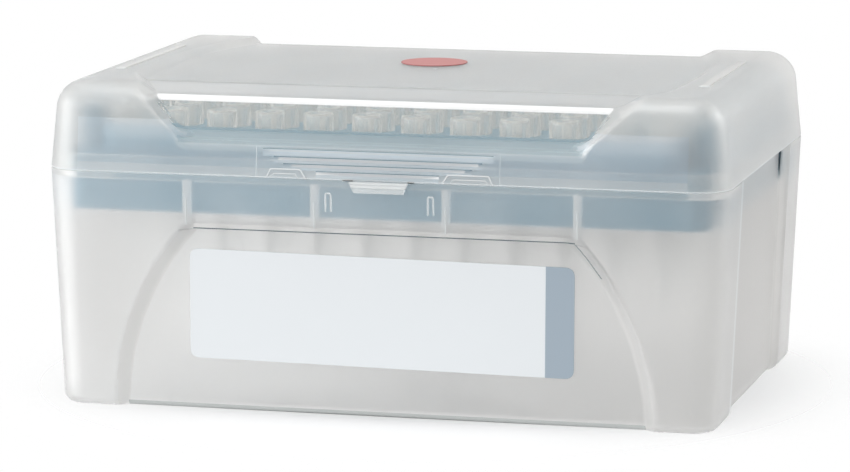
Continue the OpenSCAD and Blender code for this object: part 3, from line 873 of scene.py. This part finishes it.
class LidSkin:
    """Points and faces of one skin of the lid. t is its inset from the outer skin."""

    def __init__(self, t):
        self.t = t
        self.points, self.faces, self.slots, self.rows = [], [], [], []

    def ring(self, z, front, back, slot=FROST, reach=0.0, extra=0.0):
        """One ring round the lid at outer height z. front and back are y, z, half width and
        slope width of the sunk skin there; slot is the material of the band under it, as far
        as reach to each side of the middle of the front; extra is more inset."""
        t = self.t
        if z <= TURN_Z:
            level, inset = z, LID_LEAN * (z - SEAM_Z) + t
        else:
            a = math.asin(min((z - TURN_Z) / TOP_R, 1))
            level = TURN_Z + (TOP_R - t) * math.sin(a)
            inset = TURN_INSET + TOP_R - (TOP_R - t) * math.cos(a)
        inset += extra
        half_x, half_y = BOX_W / 2 - inset, BOX_D / 2 - inset
        radius = max(CORNER_R - inset, 0.02)
        points = []
        for x, share in across(front[2], front[3], *FACE_SOFT):
            relief = grip_relief(x, z) if t == 0 else 0
            y = mix(-half_y, front[0] + extra, share) - relief
            points.append((x, y, mix(level, front[1], share)))
        points += rounding(-90, half_x, half_y, radius, level)
        points += [(half_x, y, level) for y in TOP_ROWS]
        points += rounding(0, half_x, half_y, radius, level)
        for x, share in reversed(across(back[2], back[3], *BACK_SOFT)):
            points.append((x, mix(half_y, back[0] - extra, share), mix(level, back[1], share)))
        points += rounding(90, half_x, half_y, radius, level)
        points += [(-half_x, y, level) for y in reversed(TOP_ROWS)]
        points += rounding(180, half_x, half_y, radius, level)
        row = list(range(len(self.points), len(self.points) + len(points)))
        self.points += points
        if self.rows:
            quads = quads_between(self.rows[-1], row)
            self.faces += quads
            self.slots += [self.finish(quad, z, slot, reach) for quad in quads]
        self.rows.append(row)

    def finish(self, quad, z, slot, reach):
        """Material of a face in the band that ends at outer height z."""
        left, right = self.points[quad[0]], self.points[quad[1]]
        middle, in_front = abs(left[0] + right[0]) / 2, left[1] < 0
        if (slot or self.t) and (in_front and middle < reach or reach > CORNER_X):
            return slot
        if self.t:
            return INNER
        if not in_front or z >= TURN_Z or middle >= CORNER_X:
            return FROST
        # painted highlight along the grip pad's edge
        if z < GRIP_TOP and PAD_EDGE[0] < middle < PAD_EDGE[1]:
            return MILKY_HIGHLIGHT
        return SLOPE if z < SLOPE_TOP else FACE

    def close_top(self):
        """Fills the top inside the last ring with a grid that carries the sunk middle."""
        ring = self.rows[-1]
        corner, deep = TURN_STEPS - 1, len(TOP_ROWS)
        right_start = ACROSS + corner
        back_start = right_start + deep + corner
        left_start = back_start + ACROSS + corner
        front, right = ring[:ACROSS], ring[right_start: right_start + deep]
        back = list(reversed(ring[back_start: back_start + ACROSS]))
        left = list(reversed(ring[left_start: left_start + deep]))
        grid = []
        for y in TOP_ROWS:
            grid.append([])
            for x, share in across(*middle_side(y), *TOP_SOFT):
                grid[-1].append(len(self.points))
                self.points.append((x, y, mix(TOP_Z, middle_z(y), share) - self.t))
        rows = [front] + grid + [back]
        for low, high in zip(rows, rows[1:]):
            self.faces += quads_between(low, high, closed=False)
        for edge, column in ((right, -1), (left, 0)):
            for k in range(deep - 1):
                self.faces.append((edge[k], edge[k + 1], grid[k + 1][column], grid[k][column]))
        corners = (
            (ACROSS, front[-1], right[0], grid[0][-1]),
            (right_start + deep, right[-1], back[-1], grid[-1][-1]),
            (back_start + ACROSS, back[0], left[-1], grid[-1][0]),
            (left_start + deep, left[0], front[0], grid[0][0]),
        )
        for start, first, last, inner in corners:
            self.faces.append((first, *ring[start: start + corner], last, inner))
        for face in self.faces[len(self.slots):]:
            x, y = (sum(self.points[i][axis] for i in face) / len(face) for axis in (0, 1))
            on_band = y < BAND_BACK - 0.05 and abs(x) < middle_side(y)[0]
            self.slots.append(INNER if self.t else SLOPE if on_band else FROST)


def shingle_slot(up):
    """Material and reach of the band that ends at this height over the grip's foot: painted shade in the
    grooves, painted highlight on the shingles' upper faces.
    """
    which = min(int(up / RIDGE - 0.001), 3)
    place = up - which * RIDGE
    if up > 5.1:
        return FROST, 0.0
    if up > 4.8:
        return GROOVE if up > 5 else RIDGE_FACE, RIDGE_HALF[3] - 1.0
    if which and place < 0.3:
        return GROOVE, RIDGE_HALF[which - 1] - 1.0
    if place > (0.98 if which == 3 else 0.8):
        return MILKY_HIGHLIGHT if which == 3 else WHITE_HIGHLIGHT, RIDGE_HALF[which] - 2.2
    return RIDGE_FACE, RIDGE_HALF[which] - 1.0


def window_slot(i):
    """Material of the band of the window's section that ends at row i."""
    if i in GLASS_ROWS:
        return CLEAR
    # the window's polished edge: painted highlight
    if i in EDGE_ROWS:
        return WHITE_HIGHLIGHT
    return LEDGE if i < GLASS_ROWS[0] else FROST


def lid_skin(t):
    """Outer skin when t is 0, inner skin when t is the wall."""
    skin = LidSkin(t)
    foot, width = WINDOW[0][3], outer_edge(WINDOW[0][0]) - WINDOW[0][3]

    def wall_ring(z, slot=FROST, reach=0.0, extra=0.0):
        face = BOX_D / 2 - LID_LEAN * (z - SEAM_Z) - t
        skin.ring(z, (-face, z, foot, width), (back_y(z) - t, z, *BACK_SIDE), slot, reach, extra)

    if t == 0:
        # the rounded lower edge of the lid: painted highlight along the seam
        for up, inset in EDGE:
            wall_ring(SEAM_Z + up, MILKY_HIGHLIGHT, BOX_W, inset)
        for up in FACE_ROWS:
            wall_ring(GRIP_FOOT + up, *shingle_slot(up))
    else:
        for up, inset in EDGE:
            wall_ring(SEAM_Z + up, extra=-0.4 * inset)
        for up in INNER_ROWS:
            wall_ring(GRIP_FOOT + up)
    for i, (z, y, sunk_z, half, in_y, in_z) in enumerate(window_rows()):
        width = outer_edge(z) - half
        if t:
            y, sunk_z, half = y + in_y, sunk_z + in_z, half + WINDOW_GROW
        slot = window_slot(i)
        reach = half + FINISH_PAST.get(slot, 0.1) if slot or t == 0 else 0
        skin.ring(z, (y, sunk_z, half, width), (*back_point(z, t), *BACK_SIDE), slot, reach)
    skin.close_top()
    return skin


def lid_shell():
    """Both skins, joined round the lower edge."""
    outer, inner = lid_skin(0), lid_skin(WALL)
    shift = len(outer.points)
    rim = quads_between(outer.rows[0], [i + shift for i in inner.rows[0]])
    faces = outer.faces + [tuple(i + shift for i in face) for face in inner.faces] + rim
    slots = outer.slots + inner.slots + [FROST] * len(rim)
    return make_piece("lid_shell", outer.points + inner.points, faces, LID_FINISHES, slots)


LATCH_X = 0.4                           # middle of the latch
TAB_FOOT, TAB_RISE = 41.07, 2.05        # foot of its thumb tab, and the height of its slanted ends
BAR_X = 54.3                            # middle of each bar on the lid's top


def latch_tab():
    """Thumb tab of the latch, with two grooves across it: rows down the front, then the back."""
    front, back = -BOX_D / 2 - 1.05, -BOX_D / 2 - 0.27
    rows = [
        (43.02, front + 0.95), (43.0, front + 0.5), (42.95, front + 0.1), (42.88, front),
        (42.7, front), (42.6, front + 0.2), (42.45, front), (42.1, front), (41.95, front + 0.35),
        (41.78, front + 0.05), (41.3, front), (41.15, front + 0.08), (TAB_FOOT, front + 0.25),
    ]
    points, faces, grid = [], [], []
    for behind in (False, True):
        for z, y in rows:
            half = mix(4.5, 5.4, min(1, (z - TAB_FOOT) / TAB_RISE))
            grid.append([])
            for x, round_off in ((-half, 0.12), (-half + 0.12, 0), (0, 0), (half - 0.12, 0), (half, 0.12)):
                depth = back + (0.4 if z > 43 else 0) if behind else y + round_off
                grid[-1].append(len(points))
                points.append((LATCH_X + x, depth, z))
    front_rows, back_rows = grid[:len(rows)], grid[len(rows):]
    for sheet in (front_rows, back_rows):
        for low, high in zip(sheet, sheet[1:]):
            faces += quads_between(low, high, closed=False)
    for i in (0, -1):
        faces += quads_between(front_rows[i], back_rows[i], closed=False)
        front_end, back_end = ([row[i] for row in sheet] for sheet in (front_rows, back_rows))
        faces += quads_between(front_end, back_end, closed=False)
    slots = [int(max(points[i][2] for i in face) < 42) for face in faces]
    return make_piece("tab", points, faces, [milky, rib_frost], slots)


def latch_gap(side):
    """Dark plate set into the front as painted shade of the deep narrow gap between lid and tub beside the
    middle of the latch.
    """
    half = 0.95 if side < 0 else 0.6
    outline = round_corners(rectangle(-half, -0.12, half, 0.12), 0.1, 2)
    place = at(LATCH_X + side * 5.75, -BOX_D / 2 + 0.21, SEAM_Z + 0.1) @ FACING_FRONT
    return plate("gap", outline, [], 0.5, 0.02, place, gap_dark)


def snap_outline(side):
    """Raised double outline of the snap pad on the lid's front, just over the seam."""
    tilt = Matrix.Rotation(-math.atan(LID_LEAN), 4, "X")
    place = at(0, -BOX_D / 2 - LID_LEAN * SEAM_Z - 0.1, 0) @ tilt @ FACING_FRONT
    near, far = (13.0, 20.3) if side < 0 else (11.8, 21.0)
    frames = (
        ([(near, 43.35), (near + 1.1, 45.0), (far - 0.8, 45.0), (far, 43.35)], 0.24, 0.3),
        ([(near + 1.5, 43.5), (near + 2.0, 44.2), (far - 1.4, 44.2), (far - 0.7, 43.5)], 0.18, 0.16),
    )
    # the milky finish makes the outline's thin white lines: partly a painted highlight
    return [
        plate("snap", ribbon([(side * x, z) for x, z in path], width), [], thick, 0.04, place, milky)
        for path, width, thick in frames
    ]


def hinge_knuckle(x):
    """Knuckle with its pins, and the web that joins it to the lid's back wall."""
    place = at(x, HINGE_Y, HINGE_Z) @ Matrix.Rotation(math.radians(90), 4, "Y")
    pieces = []
    for radius, length, edge in ((1.89, 6.0, 0.25), (1.1, 10.1, 0.15)):
        pieces.append(plate("knuckle", circle(0, 0, radius, 40), [], length, edge, place, lid_frost))
    web = round_corners([
        (BOX_D / 2 - 0.8, HINGE_Z + 0.2), (HINGE_Y - 0.2, HINGE_Z + 0.2),
        (HINGE_Y, HINGE_Z + 1.85), (BOX_D / 2 - 0.8, HINGE_Z + 3.0),
    ], 0.2, 2)
    pieces.append(plate("web", web, [], 5.9, 0.15, at(x, 0, 0) @ FACING_SIDE, lid_frost))
    return pieces


def top_bar(side):
    """Low rounded bar on an end band, with a small stop at its front."""
    bar = round_corners(rectangle(-0.8, -18.5, 0.8, 18.5), 0.35, 3)
    stop = round_corners(rectangle(-1.0, -0.5, 1.0, 0.5), 0.3, 3)
    # the bar's lighter step finish and the milky stop are a painted highlight on their edges
    return [
        plate("bar", bar, [], 0.44, 0.12, at(side * BAR_X, -1, TOP_Z - 0.03), step_frost_and_highlight, 3),
        plate("stop", stop, [], 0.44, 0.2, at(side * BAR_X, -20.2, TOP_Z - 0.03), milky, 3),
    ]


def gate_mark():
    """Scar where the melt came in, in the middle of the top; its milky white is partly a painted glint."""
    return plate("gate", circle(-0.3, 1.2, 0.4, 16), [], 0.16, 0.06, at(0, 0, MID_Z + 0.02), milky)


def build_lid():
    """Lid with its latch, snap outlines, bars and hinge knuckles."""
    parts = [lid_shell(), latch_tab(), gate_mark()]
    for side in (-1, 1):
        parts += snap_outline(side) + top_bar(side)
        parts += hinge_knuckle(side * HINGE_X) + [latch_gap(side)]
    lid = join("cover_shell", parts)
    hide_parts("lid")
    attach(lid, "cover")


# ------------------------------------------------------------------ tips

COLLAR_H, TIP_LENGTH = 4.1, 33.0
RIBS, RIB_DEPTH = 18, 0.12              # fine ribs round each collar
AROUND = 4 * RIBS                       # points round a tip


def tip_profile():
    """Radius, height and share of rib up the outside, then down the bore, of one tip."""
    top = DECK_Z + COLLAR_H
    point = top - TIP_LENGTH
    return [
        (0.24, point, 0), (0.4, point, 0), (0.62, point + 6, 0), (1.2, 32, 0), (1.75, 41, 0),
        (2.1, 47, 0), (2.2, DECK_Z - 1, 0), (2.2, DECK_Z, 0), (2.6, DECK_Z + 0.01, 0),
        (2.74, DECK_Z + 0.15, 1), (2.75, top - 0.9, 1), (2.72, top - 0.6, 0.4), (2.66, top - 0.2, 0),
        (2.5, top, 0), (2.1, top, 0),
        (1.85, top - 0.25, 0), (1.72, top - 0.6, 0), (1.3, 47, 0), (1.3, 42, 0), (0.36, point + 6, 0),
    ]


def tips_row(name, y):
    """A row of tips along X as one mesh: ribbed clear collars over plainer shafts."""
    points, faces, slots = [], [], []
    profile = tip_profile()
    for c in range(COLS):
        middle = (c - (COLS - 1) / 2) * PITCH
        start = len(points)
        for radius, z, rib in profile:
            for k in range(AROUND):
                angle = math.tau * k / AROUND
                wave = 0.5 + 0.5 * math.cos(RIBS * angle)
                r = radius - RIB_DEPTH * rib * (1 - wave)
                points.append((middle + r * math.cos(angle), y + r * math.sin(angle), z))
        rows = [list(range(i, i + AROUND)) for i in range(start, len(points), AROUND)]
        for low, high in zip(rows, rows[1:] + rows[:1]):
            faces += quads_between(low, high)
            slots += [int(points[high[0]][2] < DECK_Z)] * AROUND
    return make_piece(name, points, faces, [tip_clear, shaft_clear], slots, sharp=40)


def build_tips():
    """The eight rows, from the back one to the front one."""
    for r, letter in enumerate("abcdefgh"):
        row = tips_row(f"tip_row_{letter}", ((ROWS - 1) / 2 - r) * PITCH)
        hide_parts(f"tips_row_{letter}")
        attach(row, "tub")


# ------------------------------------------------------------------ label and sticker

LABEL_W, LABEL_H, LABEL_R = 70.6, 20, 1.7
STRIPE_W = 5.2                          # blue stripe at its right end
LABEL_TURN = 0.6                        # degrees, as a hand lays it


def build_label():
    """Bare label on the sunk front panel: a white field and a stripe."""
    low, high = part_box("label")
    middle_x, middle_z = (low.x + high.x) / 2 / MM, (low.z + high.z) / 2 / MM
    place = at(middle_x, -PANEL_Y - PANEL_Y_LEAN * middle_z, middle_z)
    place = place @ Matrix.Rotation(math.atan(PANEL_Y_LEAN), 4, "X") @ FACING_FRONT
    place = place @ Matrix.Rotation(math.radians(-LABEL_TURN), 4, "Z") @ at(0, 0, 0.075)
    half_w, half_h = LABEL_W / 2, LABEL_H / 2
    split = half_w - STRIPE_W
    full = round_corners(rectangle(-half_w, -half_h, half_w, half_h), LABEL_R, 6)
    count = len(full) // 4
    white = full[3 * count:] + full[:count] + [(split, -half_h), (split, half_h)]
    blue = [(split, -half_h)] + full[count: 3 * count] + [(split, half_h)]
    pieces = [
        plate("white", white, [], 0.14, 0.02, place, label_white, 1, 10),
        plate("blue", blue, [], 0.14, 0.02, place, label_blue, 1, 10),
    ]
    label = join("front_label", pieces)
    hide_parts("label")
    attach(label, "tub")


def dress_cad_nodes():
    """Finishes for the CAD solids that are shown as they are."""
    for name, node in frame["nodes"].items():
        if name == "tray":
            finish = tray_blue
        elif name.startswith("filters"):
            finish = filter_white
        elif name == "lid_dot":
            finish = sticker_red
        else:
            continue
        for slot in node.material_slots:
            slot.material = finish


# ------------------------------------------------------------------ camera, floor and light

BOX_MIDDLE = (0, 0, 30)
ROOM = 0.82                             # brightness of the room beside the white backdrop
FLOOR_R, FADE_FROM, FADE_TO = 115, 30, 95   # the table, and where it fades into the backdrop


def build_camera():
    """Long lens, a little to the right of the front and a little above it."""
    side, rise_angle = math.radians(14.332), math.radians(9.137)
    level = math.cos(rise_angle)
    back = Vector((math.sin(side) * level, -math.cos(side) * level, math.sin(rise_angle)))
    right = Vector((math.cos(side), math.sin(side), 0))
    up = back.cross(right)
    place = Vector(BOX_MIDDLE) + back * 818.4 - right * 1.952 - up * 3.054
    camera = bpy.data.objects.new("camera", bpy.data.cameras.new("camera"))
    bpy.context.scene.collection.objects.link(camera)
    turn = Matrix((right, up, back)).transposed().to_4x4()
    camera.matrix_world = Matrix.Translation(place * MM) @ turn
    camera.data.lens = 186.64
    camera.data.clip_start = 0.05
    bpy.context.scene.camera = camera


def build_floor():
    """White table that fades into the white backdrop away from the part."""
    rim = circle(0, 0, FLOOR_R, 96)
    floor = make_piece("floor", [(x, y, 0) for x, y in rim], [tuple(range(len(rim)))], [])
    material, tree, shader, coords = new_material(
        "matt_white_table", Base_Color=linear("#FFFFFF"), Roughness=0.9)
    far = add(tree, "ShaderNodeVectorMath", {"operation": "LENGTH"}, i0=coords).outputs["Value"]
    fade = add(tree, "ShaderNodeMapRange", {"interpolation_type": "SMOOTHSTEP"},
               Value=far, From_Min=FADE_FROM * MM, From_Max=FADE_TO * MM)
    gone = add(tree, "ShaderNodeBsdfTransparent")
    blend = add(tree, "ShaderNodeMixShader", i0=fade, i1=shader, i2=gone)
    plug(tree, tree.nodes["Material Output"], Surface=blend)
    floor.data.materials.append(material)


def add_lamp(name, place, size, watts):
    """Square soft lamp that points at the middle of the box."""
    light = bpy.data.lights.new(name, "AREA")
    light.size = size * MM
    light.energy = watts
    lamp = bpy.data.objects.new(name, light)
    bpy.context.scene.collection.objects.link(lamp)
    lamp.location = Vector(place) * MM
    aim = Vector(BOX_MIDDLE) - Vector(place)
    lamp.rotation_euler = aim.to_track_quat("-Z", "Y").to_euler()


def build_light():
    """White all round, dimmer for what it lights than for what is seen through or behind the
    part, with a lamp overhead, a broad one at the left and a weak one behind at the right."""
    world = bpy.data.worlds.new("studio")
    bpy.context.scene.world = world
    world.use_nodes = True
    tree = world.node_tree
    path = add(tree, "ShaderNodeLightPath")
    seen = add(tree, "ShaderNodeMath", {"operation": "MAXIMUM"},
               i0=path.outputs["Is Camera Ray"], i1=path.outputs["Is Transmission Ray"])
    strength = add(tree, "ShaderNodeMapRange", Value=seen, To_Min=ROOM, To_Max=1)
    plug(tree, tree.nodes["Background"], Color=(1, 1, 1, 1), Strength=strength)
    add_lamp("overhead", (-80, -70, 690), 280, 1.036728)
    add_lamp("left", (-640, -330, 150), 640, 2.638944)
    add_lamp("right", (540, 335, 330), 300, 0.439824)


bpy.context.scene.view_settings.view_transform = "Standard"
build_camera()
build_floor()
build_light()
build_tub()
build_lid()
build_tips()
build_label()
dress_cad_nodes()
